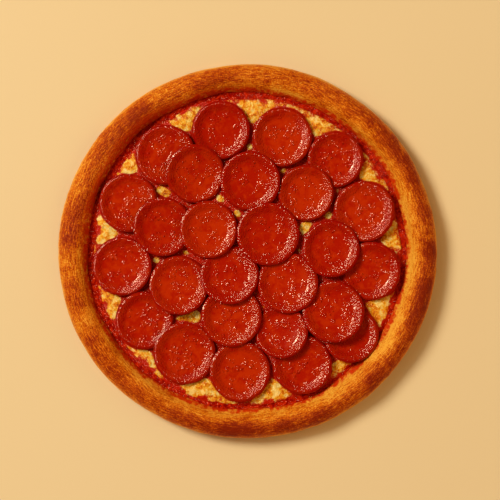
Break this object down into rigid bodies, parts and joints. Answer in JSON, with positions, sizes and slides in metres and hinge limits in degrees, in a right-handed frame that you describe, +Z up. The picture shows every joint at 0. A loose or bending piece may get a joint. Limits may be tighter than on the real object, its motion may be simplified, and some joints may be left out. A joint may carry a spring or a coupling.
{
  "type": "pepperoni pizza",
  "caption": "Whole round pizza with a puffed golden-brown crust, tomato sauce, melted cheese and overlapping cupped slices of pepperoni.",
  "frame": {"origin": "centre of the flat underside", "axes": "+Z up through the toppings, +Y towards the top of the picture, +X towards its right"},
  "size_m": [0.2554, 0.2526, 0.0201],
  "materials": {
    "baked_dough": "matt baked crust, browned in places",
    "tomato_sauce": "wet and glossy",
    "melted_cheese": "oily, lightly browned",
    "pepperoni": "greasy"
  },
  "bodies": {
    "root": {"crust": "baked_dough", "sauce": "tomato_sauce", "cheese": "melted_cheese", "pepperoni_01": "pepperoni", "pepperoni_02": "pepperoni", "pepperoni_03": "pepperoni", "pepperoni_04": "pepperoni", "pepperoni_05": "pepperoni", "pepperoni_06": "pepperoni", "pepperoni_07": "pepperoni", "pepperoni_08": "pepperoni", "pepperoni_09": "pepperoni", "pepperoni_10": "pepperoni", "pepperoni_11": "pepperoni", "pepperoni_12": "pepperoni", "pepperoni_13": "pepperoni", "pepperoni_14": "pepperoni", "pepperoni_15": "pepperoni", "pepperoni_16": "pepperoni", "pepperoni_17": "pepperoni", "pepperoni_18": "pepperoni", "pepperoni_19": "pepperoni", "pepperoni_20": "pepperoni", "pepperoni_21": "pepperoni", "pepperoni_22": "pepperoni", "pepperoni_23": "pepperoni", "pepperoni_24": "pepperoni", "pepperoni_25": "pepperoni", "pepperoni_26": "pepperoni"}
  },
  "joints": []
}
